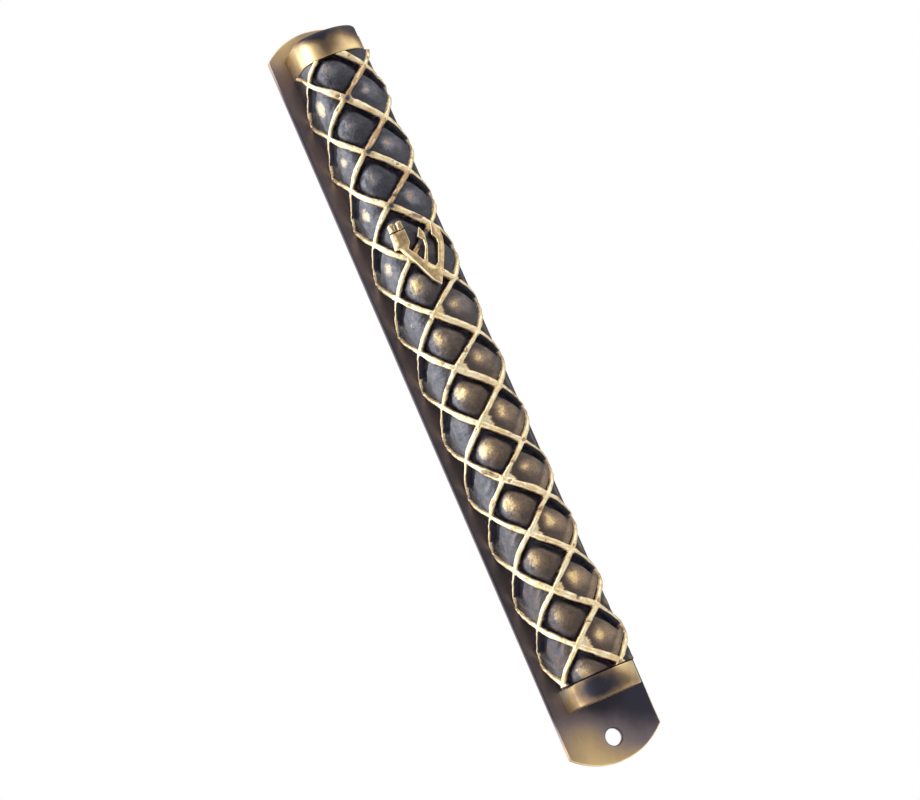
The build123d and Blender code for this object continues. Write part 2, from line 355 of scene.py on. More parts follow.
def lattice_relief(across, up):
    """Height over the rib tops in mm, nearly all below 0, and four masks: ribs, worn metal with painted
    highlights and painted shade, depth, and wall.

    across and up count node columns and rows, so ribs lie where (across +- up) / 2 is whole.
    """
    p, q = (across + up) / 2, (across - up) / 2
    cell_p, cell_q = np.floor(p), np.floor(q)
    node_p, node_q = np.round(p), np.round(q)
    fp, fq = p - cell_p, q - cell_q
    column = (cell_p + cell_q + 1).astype(int)
    row = (cell_p - cell_q).astype(int)
    wall = (column <= -3) | (column >= 2)

    near_p, near_q, half_p, half_q = rib_lines(p, q, across)
    to_node = np.hypot(near_p, near_q)
    pits = ease(noise(p * 7 + 5, q * 7, 25, 128), 0.62, 0.80)
    pits = pits * (1 - ease(np.abs(across + 0.5), 0.9, 1.4))
    knots = 0.10 * noise(node_p * 1.7, node_q * 1.3, 5)
    ribs = smooth_max(rib_height(near_p, half_p), rib_height(near_q, half_q), 0.10)
    ribs = ribs + knots * bell(to_node / 1.2) + 0.09 * noise(p * 8, q * 8, 24)
    ribs = ribs - 0.30 * pits

    from_left = (fp + fq) / 2 * CELL_WIDTH
    reach = web_reach(p, q, column, row)
    web = -0.22 - 1.9 * ease(from_left, reach, reach + 1.1)
    ribs = smooth_max(ribs, np.where(column == 0, web, FAR_BELOW), 0.1)

    # Out on the flanks the ribs are lower and unpolished where they meet.
    node_across = node_p + node_q
    flank = (node_across <= -3) | (node_across >= 1)
    merged = flank * np.exp(-((to_node / 1.5) ** 4))
    ribs = ribs - 0.12 * merged

    pillow, ledge = pillow_height(fp, fq, column, row)
    slot = slots(fp, fq, column, row)
    side_slot = slot * (column != -1)
    pillow = cell_floor(p, q, pillow, slot, wall)
    height = smooth_max(ribs, pillow, 0.05)
    height = height + 0.02 * noise(p * 26, q * 26, 9, 256)
    height = height + 0.035 * noise(p * 13, q * 13, 16, 128)

    rib_mask = ease(ribs - pillow, -0.06, 0.22) * ease(ribs, -0.9, -0.3)
    rib_mask = rib_mask * (1 - 0.4 * merged) * (1 - 0.6 * pits) * (1 - 0.95 * side_slot)
    crest = 1 - np.clip(np.minimum(near_p / half_p, near_q / half_q), 0, 1) ** 2
    on_web = (column == 0) * (1 - ease(from_left, reach - 0.3, reach + 0.5))
    rib_mask = rib_mask * (0.6 + 0.4 * np.maximum(crest, 0.55 * on_web))
    rib_mask = rib_mask * clear_of_badge_shadow_and_solder(across, up, node_p, node_q)

    # Painted shadow of the badge, on the middle cell behind it.
    badge_shadow_cell = (column == 0) & (row == -7)
    wear_light_and_shade = cell_wear_and_highlight(fp, fq, column, row) * (1 - slot) * (1 - 0.8 * badge_shadow_cell)
    wear_light_and_shade = (wear_light_and_shade + 0.25 * ledge) * ~wall
    wear_light_and_shade = wear_light_and_shade + (rib_polish_and_shade(near_p, near_q, across, row) - wear_light_and_shade) * ease(rib_mask, 0.2, 0.6)
    depth = np.clip(-height / VALLEY_DEPTH, 0, 1) * np.where(wall, 0.5, 0.9)
    depth = np.maximum(depth, side_slot * ~wall)

    # A dark seam where the cover stands on the bottom cap.
    seam = 1 - ease(up * ROW_PITCH / 2 + ROW_ORIGIN - COVER_LOW.z, 0.15, 0.45)
    masks = mask_layers(rib_mask * (1 - seam), wear_light_and_shade, np.maximum(depth, seam), wall)
    return height - 0.35 * seam, masks


def lattice_ticks():
    """Positions across a cell from 0 to 1: close together by the ribs, wider in the middle."""
    near = np.linspace(0, 1.32, 12)
    far = np.linspace(1.32, RIB_SPACING / 2, 10)[1:]
    half = np.concatenate([near, far]) / RIB_SPACING
    return np.concatenate([half, (1 - half[::-1])[1:-1]])


def cell_lines(low, high):
    """The tick positions of every cell from low to high, in node steps."""
    cells = np.arange(math.floor(low) - 1, math.ceil(high) + 2)
    return (cells[:, None] + lattice_ticks()[None, :]).ravel()


def lattice_sheet():
    """The cover unrolled flat, as (angle, height) points and faces whose edges follow the ribs."""
    low_up = (COVER_LOW.z - ROW_ORIGIN) / (ROW_PITCH / 2)
    high_up = (COVER_HIGH.z - ROW_ORIGIN) / (ROW_PITCH / 2)
    low_across, high_across = (np.array([-EDGE_ANGLE, EDGE_ANGLE]) - COLUMN_ORIGIN) / COLUMN_STEP
    p_line = cell_lines((low_across + low_up) / 2, (high_across + high_up) / 2)
    q_line = cell_lines((low_across - high_up) / 2, (high_across - low_up) / 2)
    p, q = np.meshgrid(p_line, q_line, indexing="ij")
    across, up = p + q, p - q

    spare = 0.15
    near = (across > low_across - spare) & (across < high_across + spare)
    near &= (up > low_up - spare) & (up < high_up + spare)
    corner = near[:-1, :-1] & near[1:, :-1] & near[1:, 1:] & near[:-1, 1:]
    index = np.arange(p.size).reshape(p.shape)
    quads = np.stack([index[:-1, :-1], index[:-1, 1:], index[1:, 1:], index[1:, :-1]], axis=-1)[corner]
    used, quads = np.unique(quads, return_inverse=True)
    quads = quads.reshape(-1, 4)
    flat = np.stack([across.ravel()[used], up.ravel()[used], np.zeros(len(used))], axis=-1)

    mesh = bpy.data.meshes.new("sheet")
    mesh.from_pydata(flat.tolist(), [], quads.tolist())
    sheet = bmesh.new()
    sheet.from_mesh(mesh)
    bpy.data.meshes.remove(mesh)
    for point, outward in (((low_across, 0, 0), (-1, 0, 0)), ((high_across, 0, 0), (1, 0, 0)),
                           ((0, low_up, 0), (0, -1, 0)), ((0, high_up, 0), (0, 1, 0))):
        everything = sheet.verts[:] + sheet.edges[:] + sheet.faces[:]
        bmesh.ops.bisect_plane(sheet, geom=everything, dist=1e-5, plane_co=point, plane_no=outward,
                               clear_outer=True)
    bmesh.ops.remove_doubles(sheet, verts=sheet.verts[:], dist=1e-4)
    sheet.verts.index_update()
    points = np.array([v.co[:2] for v in sheet.verts])
    faces = [tuple(v.index for v in face.verts) for face in sheet.faces]
    sheet.free()
    return points[:, 0], points[:, 1], faces


def zip_lines(first, second):
    """Triangles between two lines of (position, index) pairs, each sorted by position."""
    triangles, i, j = [], 0, 0
    while i < len(first) - 1 or j < len(second) - 1:
        step_first = j == len(second) - 1 or (i < len(first) - 1 and first[i + 1][0] <= second[j + 1][0])
        if step_first:
            triangles.append((first[i][1], second[j][1], first[i + 1][1]))
            i += 1
        else:
            triangles.append((first[i][1], second[j][1], second[j + 1][1]))
            j += 1
    return triangles


def cover_surface(across, up, angle, height):
    """The relief wrapped round the case, as points in mm, and its masks."""
    relief, masks = lattice_relief(across, up)
    # Toward the top the flanks draw in to the width of the cap.
    taper = 0.8 * ease(height, 10, 72) + 0.5 * ease(height, 67, COVER_HIGH.z)
    flank = ease(-angle, 45, 100) + 0.10 * ease(angle, 45, 100)
    relief = np.maximum(relief - taper * flank, np.minimum(relief, COVER_TO_TUBE))
    # The right flank swells a little toward both ends.
    right_flank = ease(angle, 40, 72) * (1 - ease(angle, 92, 120))
    swell = 0.78 * (1 - ease(height, -75, -28)) + 0.42 * ease(height, 28, 60) - 0.12
    relief = relief + right_flank * swell

    # The hand-made lattice drifts round the case a little from one end to the other.
    middle = ease(np.minimum(height - COVER_LOW.z, COVER_HIGH.z - height), 0.0, 2.0)
    sides = ease(EDGE_ANGLE - np.abs(angle), 0.0, 40.0)
    drift = 0.05 * height + 5.0 * ease(height, 58.0, 71.0) - 2.5 * bell((height + 8) / 18)
    drift = drift + 1.2 * noise(across * 0.9 + 7, up * 0.9, 11)
    tilt = -0.0045 * angle + 0.12 * noise(across * 0.9, up * 0.9 + 5, 12)
    # On the walls the ribs bend round to run along the base, and meet a little lower.
    bend_span = EDGE_ANGLE - BEND_ANGLE
    out = np.clip((np.abs(angle) - BEND_ANGLE) / bend_span, 0, 1)
    bent = np.where(out > 0, BEND_ANGLE + bend_span * (1 - (1 - out) ** 1.55), np.abs(angle))
    turned = np.sign(angle) * bent + drift * sides
    shifted = height + (tilt - 0.75 * out ** 1.5) * middle

    x, y, nx, ny = arch_points(turned, COVER_HALF, COVER_WALL, COVER_ARCH)
    points = np.stack([x + nx * relief, y + ny * relief, shifted], axis=-1)
    points[np.abs(np.abs(angle) - EDGE_ANGLE) < 0.01, 1] = PLATE_FRONT
    return points, masks


def make_lattice_cover(material):
    """A closed shell: the relief outside, the plain chamber inside, flat rims and base."""
    across, up, faces = lattice_sheet()
    angle = across * COLUMN_STEP + COLUMN_ORIGIN
    height = up * ROW_PITCH / 2 + ROW_ORIGIN
    outer, painted = cover_surface(across, up, angle, height)

    start = len(outer)
    lines, rims = [], []
    for z in (COVER_HIGH.z, COVER_LOW.z):
        on_rim = np.nonzero(np.abs(height - z) < 0.002)[0]
        on_rim = on_rim[np.argsort(angle[on_rim])]
        ix, iy, _, _ = arch_points(angle[on_rim], CHAMBER_HALF, COVER_WALL, CHAMBER_ARCH)
        first = start + sum(len(r) for r in rims)
        rims.append(np.stack([ix, iy, np.full(len(on_rim), z)], axis=-1))
        lines.append((on_rim, first + np.arange(len(on_rim))))
    everything = np.concatenate([outer] + rims)

    for (rim, inner), top in zip(lines, (True, False)):
        for k in range(len(rim) - 1):
            quad = (rim[k], inner[k], inner[k + 1], rim[k + 1])
            faces.append(quad[::-1] if top else quad)
    top_line = list(zip(angle[lines[0][0]], lines[0][1]))
    bottom_line = list(zip(angle[lines[1][0]], lines[1][1]))
    faces += [t[::-1] for t in zip_lines(top_line, bottom_line)]
    for side in (-1, 1):
        edge = np.nonzero(np.abs(angle - side * EDGE_ANGLE) < 0.01)[0]
        edge = edge[np.argsort(height[edge])]
        end = 0 if side < 0 else -1
        face = list(edge) + [lines[0][1][end], lines[1][1][end]]
        faces.append(tuple(face if side > 0 else face[::-1]))

    inside = np.tile((0, 0, 0.3, 1), (len(everything) - start, 1))
    faces = [tuple(int(i) for i in face) for face in faces]
    make_object("cover_relief", everything, faces, material, "case", "lattice_cover",
                np.concatenate([painted, inside]))


# ---- the caps ----

def cap_ring(inset, z, base):
    """One U of points round a cap at height z, inset from the caps' outer section."""
    angles = np.linspace(-EDGE_ANGLE, EDGE_ANGLE, 97)
    x, y, nx, ny = arch_points(angles, CAP_HALF, CAP_WALL, CAP_ARCH, base)
    return np.stack([x - nx * inset, y - ny * inset, np.full(len(x), z)], axis=-1)


def loft(rings):
    """Points and quads through a list of rings of equal length."""
    columns = len(rings[0])
    faces = []
    for ring in range(len(rings) - 1):
        for column in range(columns - 1):
            a = ring * columns + column
            faces.append((a + columns, a + columns + 1, a + 1, a))
    return np.concatenate(rings), faces


def ring_ends(rings):
    """The indices of the first and of the last point of every ring."""
    columns = len(rings[0])
    first = [ring * columns for ring in range(len(rings))]
    return first, [start + columns - 1 for start in first]


def round_rim(radius, z_edge, direction):
    """(inset, z) pairs that turn a quarter round from a side wall onto an end face."""
    pairs = []
    for k in range(RIM_STEPS + 1):
        turn = math.pi / 2 * k / RIM_STEPS
        pairs.append((radius * (1 - math.cos(turn)), z_edge - direction * radius * (1 - math.sin(turn))))
    return pairs


def polish_sheen_and_shade(points, low, spots):
    """Brightness painted from black patina to bright, with spots of painted highlight and painted shade
    among the worn ones, whose heights count from low.
    """
    angle = np.degrees(np.arctan2(points[:, 0], CAP_AXIS - points[:, 1]))
    z = points[:, 2]
    polish_and_painted_light = 0.14 * noise(angle / 26 + 9, z / 2.6 + 9, 21)
    polish_and_painted_light = polish_and_painted_light + 0.05 * noise(angle / 7 + 9, z / 0.8 + 99, 22)
    for middle, up, wide, tall, strength in spots:
        polish_and_painted_light = polish_and_painted_light + strength * bell((angle - middle) / wide) * bell((z - low - up) / tall)
    return mask_layers(np.clip(polish_and_painted_light / 2 + 0.5, 0, 1))


def weld(piece):
    """Merge doubled points and make the normals face out."""
    shape = bmesh.new()
    shape.from_mesh(piece.data)
    bmesh.ops.remove_doubles(shape, verts=shape.verts, dist=1e-6)
    bmesh.ops.recalc_face_normals(shape, faces=shape.faces)
    shape.to_mesh(piece.data)
    shape.free()


def make_cap_band(name, node, body, low, high, base, rims, material, spots):
    """The smooth band: rounded outer rims, and a plain inner wall a sheet's thickness in."""
    pairs = [(CAP_SHEET, low)] + round_rim(rims[0], low, -1)[::-1]
    for z in np.linspace(low + rims[0], high - rims[1], 16)[1:-1]:
        pairs.append((0.0, z))
    pairs += round_rim(rims[1], high, 1) + [(CAP_SHEET, high)]
    rings = [cap_ring(inset, z, base) for inset, z in pairs]
    left_end, right_end = ring_ends(rings)
    points, faces = loft(rings + rings[:1])
    faces += [tuple(left_end), tuple(right_end[::-1])]
    masks = polish_sheen_and_shade(points, low, spots)
    weld(make_object(name, points, faces, material, body, node, masks))


def make_cap_end(name, node, body, inner, outer, base, radius, material, low, spots):
    """The closing plate: flat outside with a rounded rim, flat inside."""
    pairs = [(0.0, inner)] + round_rim(radius, outer, 1 if outer > inner else -1)
    rings = [cap_ring(inset, z, base) for inset, z in pairs]
    points, faces = loft(rings)
    left_end, right_end = ring_ends(rings)
    faces.append(tuple(range(right_end[0] + 1)))
    faces.append(tuple(range(left_end[-1], right_end[-1] + 1))[::-1])
    faces.append(tuple(left_end + right_end[::-1]))
    masks = polish_sheen_and_shade(points, low, spots)
    weld(make_object(name, points, faces, material, body, node, masks, 50))


# ---- flat work: the backplate and the badge ----

def round_corners(corners, radius):
    """A closed outline with each corner turned into a short curve."""
    corners = np.asarray(corners, dtype=float)
    outline = []
    for k, corner in enumerate(corners):
        before, after = corners[k - 1], corners[(k + 1) % len(corners)]
        into, away = before - corner, after - corner
        reach_in = min(radius / np.hypot(*into), 0.45)
        reach_out = min(radius / np.hypot(*away), 0.45)
        start, end = corner + into * reach_in, corner + away * reach_out
        for t in (0, 0.25, 0.5, 0.75, 1):
            outline.append(start * (1 - t) ** 2 + corner * 2 * t * (1 - t) + end * t ** 2)
    return np.array(outline)


def resample(outline, step):
    """The same closed outline with points at most a step apart."""
    points = []
    for k, start in enumerate(outline):
        end = outline[(k + 1) % len(outline)]
        count = max(1, math.ceil(np.hypot(*(end - start)) / step))
        points += [start + (end - start) * t / count for t in range(count)]
    points = np.array(points)
    gap = np.hypot(*(points - np.roll(points, 1, axis=0)).T)
    return points[gap > step * 0.15]


def edge_distance(points, loops):
    """Distance from each point to the nearest outline, and whether it is inside them all."""
    nearest = np.full(len(points), 1e9)
    crossings = np.zeros(len(points), dtype=int)
    for loop in loops:
        for start, end in zip(loop, np.roll(loop, -1, axis=0)):
            along = end - start
            t = np.clip(((points - start) @ along) / (along @ along), 0, 1)
            nearest = np.minimum(nearest, np.hypot(*(points - start - t[:, None] * along).T))
            spans = (start[1] > points[:, 1]) != (end[1] > points[:, 1])
            rise = np.where(abs(along[1]) < 1e-12, 1e-12, along[1])
            crossings += spans & (points[:, 0] < start[0] + (points[:, 1] - start[1]) * along[0] / rise)
    return nearest, crossings % 2 == 1


def flat_sheet(loops, rings, spacing):
    """Points, edge distances and triangles filling an outline with holes, closer by its edges."""
    points = [np.concatenate(loops)]
    for ring in rings:
        for loop in loops:
            along = np.roll(loop, -1, axis=0) - np.roll(loop, 1, axis=0)
            normal = np.stack([-along[:, 1], along[:, 0]], axis=-1) / np.hypot(*along.T)[:, None]
            for side in (-1, 1):
                moved = loop + side * normal * ring
                distance, inside = edge_distance(moved, loops)
                points.append(moved[inside & (distance > ring * 0.93)])
    low, high = points[0].min(axis=0), points[0].max(axis=0)
    row_gap = spacing * 0.87
    across, up = np.meshgrid(np.arange(low[0], high[0], spacing), np.arange(low[1], high[1], row_gap))
    across[::2] += spacing / 2
    grid = np.stack([across.ravel(), up.ravel()], axis=-1)
    distance, inside = edge_distance(grid, loops)
    points.append(grid[inside & (distance > rings[-1] + spacing * 0.4)])
    points = np.concatenate(points)

    edges, start = [], 0
    for loop in loops:
        edges += [(start + k, start + (k + 1) % len(loop)) for k in range(len(loop))]
        start += len(loop)
    result = delaunay_2d_cdt([Vector(p) for p in points], edges, [], 0, 1e-6)
    filled = np.array([tuple(v) for v in result[0]])
    faces = [tuple(face) for face in result[2]]
    middles = np.array([filled[list(face)].mean(axis=0) for face in faces])
    _, inside = edge_distance(middles, loops)
    faces = [face for face, keep in zip(faces, inside) if keep]
    distance, _ = edge_distance(filled, loops)
    return filled, distance, faces


def thicken(front, back, faces):
    """Close two copies of a flat sheet, given as 3-D points, with walls round their edges."""
    count = len(front)
    open_edges = {}
    for face in faces:
        for start, end in zip(face, face[1:] + face[:1]):
            if (end, start) in open_edges:
                del open_edges[(end, start)]
            else:
                open_edges[(start, end)] = True
    everything = list(faces) + [tuple(count + v for v in face[::-1]) for face in faces]
    everything += [(end, start, count + start, count + end) for start, end in open_edges]
    return np.concatenate([front, back]), everything


def softened(distance, width, amount):
    """How far a surface drops toward its edge: a quarter round width wide, amount deep."""
    corner = np.clip(1 - distance / width, 0, 1)
    return amount * (1 - np.sqrt(1 - corner ** 2))


def plate_masks(across, up, distance, to_hole):
    """How bright the backplate is painted in front, with painted highlights and painted shade among its
    patina, and behind, and the pale worn rims along its ends' edges.
    """
    front = 0.12 * noise(across / 6 + 9, up / 14 + 30, 32)
    front = front + 0.06 * noise(across / 2 + 9, up / 5 + 60, 33)
    for x, z, wide, tall, strength in PLATE_POLISH_LIGHT_SHADE_SPOTS:
        front = front + strength * bell((across - x) / wide) * bell((up - z) / tall)
    # Painted shade: darker round the screw holes, and along the long edges away from the ends.
    front = front - 0.22 - 1.2 * (1 - ease(to_hole, 0.02, 0.22))
    at_ends = ease(np.abs(up), 66, 78)
    front = front - 0.7 * (1 - ease(distance, 0.0, 0.35)) * (1 - at_ends)
    behind = 0.09 + 0.10 * noise(across / 5 + 40, up / 12 + 90, 34)
    behind = behind + 0.06 * noise(across / 1.6 + 9, up / 4 + 60, 35)
    worn = (1 - ease(distance, 0.05, 0.45)) * at_ends
    worn = worn * np.where(across < 0, 0.5, 0.9) * ease(to_hole, 0.5, 1.0)
    polish_and_painted_light = np.clip(np.concatenate([front, behind]) / 2 + 0.5, 0, 1)
    return mask_layers(polish_and_painted_light, np.concatenate([worn, 0 * worn]))


def make_backplate(material):
    """The brushed sheet with arched ends, worn round edges and its two screw holes."""
    radius = (PLATE_HIGH.x ** 2 + PLATE_END_RISE ** 2) / (2 * PLATE_END_RISE)
    half_turn = math.asin(PLATE_HIGH.x / radius)
    turns = np.linspace(-half_turn, half_turn, 41)
    arc_z = PLATE_HIGH.z - radius * (1 - np.cos(turns))
    arc = np.stack([radius * np.sin(turns), arc_z], axis=-1)
    outline = resample(np.concatenate([arc, -arc]), 0.7)
    turn = np.linspace(0, 2 * math.pi, 49)[:-1]
    ring = HOLE_RADIUS * np.stack([np.cos(turn), np.sin(turn)], axis=-1)
    hole_heights = [HOLE_MIDDLE + side * HOLE_SPACING / 2 for side in (-1, 1)]
    holes = [ring + (0, z) for z in hole_heights]
    sheet, distance, faces = flat_sheet([outline] + holes, (0.07, 0.18, 0.32), 1.1)

    across, up = sheet.T
    ripple = 0.02 * noise(across / 3 + 9, up / 5 + 30, 31) * ease(distance, 0.5, 2.5)
    front = np.stack([across, PLATE_FRONT + softened(distance, 0.26, 0.20) + ripple, up], axis=-1)
    back = np.stack([across, np.full(len(sheet), PLATE_HIGH.y), up], axis=-1)
    points, faces = thicken(front, back, faces)
    to_hole = np.min([np.hypot(across, up - z) for z in hole_heights], axis=0) - HOLE_RADIUS
    make_object("worn_backplate", points, faces, material, "case", "backplate",
                plate_masks(across, up, distance, to_hole), 40)


def make_badge_plate(material):
    """The three-armed letter as a plate bent round the crown, with soft edges and a cut crown."""
    outline = resample(round_corners(BADGE_OUTLINE, 0.16), 0.2)
    outline = outline + (BADGE_LOW.x - outline[:, 0].min(), BADGE_LOW.z - outline[:, 1].min())
    sheet, distance, faces = flat_sheet([outline], (0.06, 0.14, 0.26), 0.24)
    across, up = sheet.T
    groove = bell((up - CROWN_FOOT - 0.1) / 0.13) * (across < CROWN_RIGHT)
    lumps = 0.10 * noise(across * 1.6 + 9, up * 1.6, 41) * (up > CROWN_FOOT)
    thick = BADGE_THICKNESS - 0.16 - softened(distance, 0.22, 0.20)
    thick = thick + 0.16 * ease(distance, 0.10, 0.95) - 0.35 * groove
    thick = thick + lumps + 0.02 * noise(across * 3 + 40, up * 3, 42)

    def wrap(lift):
        half, arch = COVER_HALF + lift, COVER_ARCH + lift
        return np.stack([across, SPRINGING - arch * np.sqrt(1 - (across / half) ** 2), up], axis=-1)

    points, faces = thicken(wrap(BADGE_LIFT + thick), wrap(BADGE_LIFT), faces)
    edge = 1 - ease(distance, 0.02, 0.22)
    head = ease(up, BADGE_HIGH.z - 6.5, BADGE_HIGH.z - 2.5)
    masks = np.tile(mask_layers(edge, head, groove), (2, 1))
    make_object("badge_plate", points, faces, material, "case", "shin_badge", masks, 45)


# ---- materials ----

class Nodes:
    """Short helpers for building a node tree. Values are numbers, colours or other sockets."""

    def __init__(self, tree):
        self.tree = tree

    def new(self, kind):
        return self.tree.nodes.new(kind)

    def feed(self, node, socket, value):
        if isinstance(value, (int, float, tuple)):
            node.inputs[socket].default_value = value
        else:
            self.tree.links.new(value, node.inputs[socket])

    def math(self, operation, *values):
        node = self.new("ShaderNodeMath")
        node.operation = operation
        for index, value in enumerate(values):
            self.feed(node, index, value)
        return node.outputs[0]

    def add(self, a, b):
        return self.math("ADD", a, b)

    def times(self, a, b):
        return self.math("MULTIPLY", a, b)

    def swing(self, noise, amount):
        """A noise brought to swing about 0, amount from its lowest to its highest."""
        return self.times(self.math("SUBTRACT", noise, 0.5), amount)

    def varied(self, value, noise, amount):
        return self.add(value, self.swing(noise, amount))

    def ramp(self, value, low, high, out_low=0.0, out_high=1.0):
        node = self.new("ShaderNodeMapRange")
        node.interpolation_type = "SMOOTHSTEP"
        for index, number in enumerate((value, low, high, out_low, out_high)):
            self.feed(node, index, number)
        return node.outputs[0]

    def axes(self, vector):
        split = self.new("ShaderNodeSeparateXYZ")
        self.feed(split, 0, vector)
        return tuple(split.outputs)


class Shader(Nodes):
    """A Principled material whose place socket is the point on the object in mm."""

    def __init__(self, name):
        self.material = bpy.data.materials.new(name)
        self.material.use_nodes = True
        super().__init__(self.material.node_tree)
        self.out = self.tree.nodes["Principled BSDF"]
        coords = self.new("ShaderNodeTexCoord")
        scaled = self.new("ShaderNodeVectorMath")
        scaled.operation = "SCALE"
        self.feed(scaled, 0, coords.outputs["Object"])
        self.feed(scaled, "Scale", 1 / MM)
        self.place = scaled.outputs["Vector"]

    def set(self, socket, value):
        self.feed(self.out, socket, value)

    def cloud(self, scale, detail, roughness, stretch=(1, 1, 1), shift=(0, 0, 0)):
        """Noise with features about 1/scale mm across, squeezed along each axis by stretch."""
        spot = self.place
        for operation, amounts in (("MULTIPLY", stretch), ("ADD", shift)):
            node = self.new("ShaderNodeVectorMath")
            node.operation = operation
            self.feed(node, 0, spot)
            self.feed(node, 1, tuple(float(amount) for amount in amounts))
            spot = node.outputs["Vector"]
        node = self.new("ShaderNodeTexNoise")
        self.feed(node, "Scale", scale)
        self.feed(node, "Detail", detail)
        self.feed(node, "Roughness", roughness)
        self.feed(node, "Vector", spot)
        return node.outputs["Fac"]

    def mix(self, factor, a, b):
        """Mix two colours."""
        node = self.new("ShaderNodeMix")
        node.data_type = "RGBA"
        self.feed(node, 0, factor)
        for socket, colour in ((6, a), (7, b)):
            self.feed(node, socket, (*colour, 1.0) if isinstance(colour, tuple) else colour)
        return node.outputs[2]

    def masks(self):
        """The relief masks painted on a mesh: rib, worn metal with painted highlights and painted shade,
        depth and bare wall.
        """
        node = self.new("ShaderNodeAttribute")
        node.attribute_name = "relief"
        split = self.new("ShaderNodeSeparateColor")
        self.feed(split, 0, node.outputs["Color"])
        return *split.outputs, node.outputs["Alpha"]

    def bump(self, height, strength, distance_mm, before=None):
        node = self.new("ShaderNodeBump")
        self.feed(node, "Strength", strength)
        self.feed(node, "Distance", distance_mm * MM)
        self.feed(node, "Height", height)
        if before is not None:
            self.feed(node, "Normal", before)
        return node.outputs["Normal"]


GOLD = (0.84, 0.64, 0.33)
PALE_GOLD = (0.98, 0.88, 0.62)
BROWN_GOLD = (0.55, 0.39, 0.21)
COPPER_BROWN = (0.52, 0.34, 0.19)
BROWN = (0.240, 0.195, 0.205)
CELL_GOLD = (0.42, 0.30, 0.19)
NIGHT = (0.066, 0.066, 0.080)
UMBER = (0.105, 0.082, 0.070)
SLATE = (0.20, 0.20, 0.225)
EARTH = (0.26, 0.19, 0.135)
SLATE_DARK = (0.082, 0.085, 0.102)
SLATE_PALE = (0.135, 0.136, 0.153)
SLATE_RUST = (0.118, 0.096, 0.084)
SLATE_BROWN = (0.16, 0.135, 0.125)
CELL_SILVER = (0.42, 0.37, 0.29)
DULL_GOLD = (0.62, 0.50, 0.33)
AMBER = (0.80, 0.56, 0.25)
CAP_BROWN = (0.215, 0.145, 0.085)
SOOT = (0.042, 0.039, 0.052)
PITCH = (0.017, 0.016, 0.026)
BADGE_BROWN = (0.34, 0.225, 0.145)
SOOT_BLUE = (0.045, 0.044, 0.060)


def patina(s, polish_and_painted_light, brown):
    """A colour from black patina through brown and gold to bright, for a brightness from 0 to 1 that may
    hold painted highlights and painted shade.
    """
    colour = s.mix(s.ramp(polish_and_painted_light, 0.10, 0.50), SOOT_BLUE, brown)
    colour = s.mix(s.ramp(polish_and_painted_light, 0.40, 0.70), colour, BROWN_GOLD)
    colour = s.mix(s.ramp(polish_and_painted_light, 0.60, 0.88), colour, GOLD)
    return s.mix(s.ramp(polish_and_painted_light, 0.84, 1.0), colour, PALE_GOLD)


